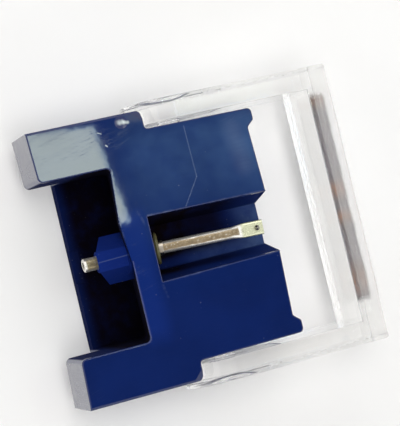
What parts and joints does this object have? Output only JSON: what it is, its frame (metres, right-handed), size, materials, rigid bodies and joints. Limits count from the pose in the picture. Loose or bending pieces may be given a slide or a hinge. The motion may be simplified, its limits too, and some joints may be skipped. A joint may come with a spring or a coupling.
{
  "type": "turntable stylus",
  "caption": "Turntable stylus with a stepped moulded holder, plug-in suspension carrier, sprung cantilever with a diamond tip, and a clear hinged guard frame.",
  "frame": {"origin": "middle of the part's length and width, on the outer face of the back plate", "axes": "+X from the arms to the guard's front bar, +Y across the holder, +Z towards the record side"},
  "size_m": [0.02, 0.018, 0.0086],
  "materials": {
    "holder_plastic": "deep blue gloss moulding",
    "carrier_plastic": "brighter blue gloss moulding",
    "plated_tube": "pale warm plating",
    "steel_wire": "drawn wire",
    "damper_rubber": "satin olive rubber",
    "pipe_aluminium": "bright drawn",
    "magnet_metal": "dark sintered",
    "cantilever_aluminium": "bright drawn",
    "shank_steel": "dark bright metal",
    "diamond": "polished diamond",
    "guard_clear": "water-clear acrylic",
    "strip_film": "aged mottled film"
  },
  "bodies": {
    "holder": {"stylus_holder": "holder_plastic", "suspension_carrier": "carrier_plastic", "anchor_tube": "plated_tube", "tie_wire": "steel_wire"},
    "damper": {"damper": "damper_rubber"},
    "cantilever": {"cantilever": "cantilever_aluminium", "joint_pipe": "pipe_aluminium", "magnet": "magnet_metal", "tip_shank": "shank_steel", "diamond_tip": "diamond"},
    "guard": {"stylus_guard": "guard_clear", "guard_strip": "strip_film"}
  },
  "joints": [
    {"name": "guard_hinge", "type": "hinge", "parent": "holder", "child": "guard", "pos_m": [-0.00036, 0, 0.00545], "axis": [0, 1, 0], "range_deg": [-30, 75]},
    {"name": "cantilever_sideways", "type": "hinge", "parent": "holder", "child": "damper", "pos_m": [-0.00407, 0, 0.0061], "axis": [-0.2588, 0, 0.9659], "range_deg": [-4, 4], "stiffness_Nm_per_rad": 0.0033},
    {"name": "cantilever_upright", "type": "hinge", "parent": "damper", "child": "cantilever", "pos_m": [-0.00407, 0, 0.0061], "axis": [0, 1, 0], "range_deg": [-4, 4], "stiffness_Nm_per_rad": 0.0033}
  ]
}
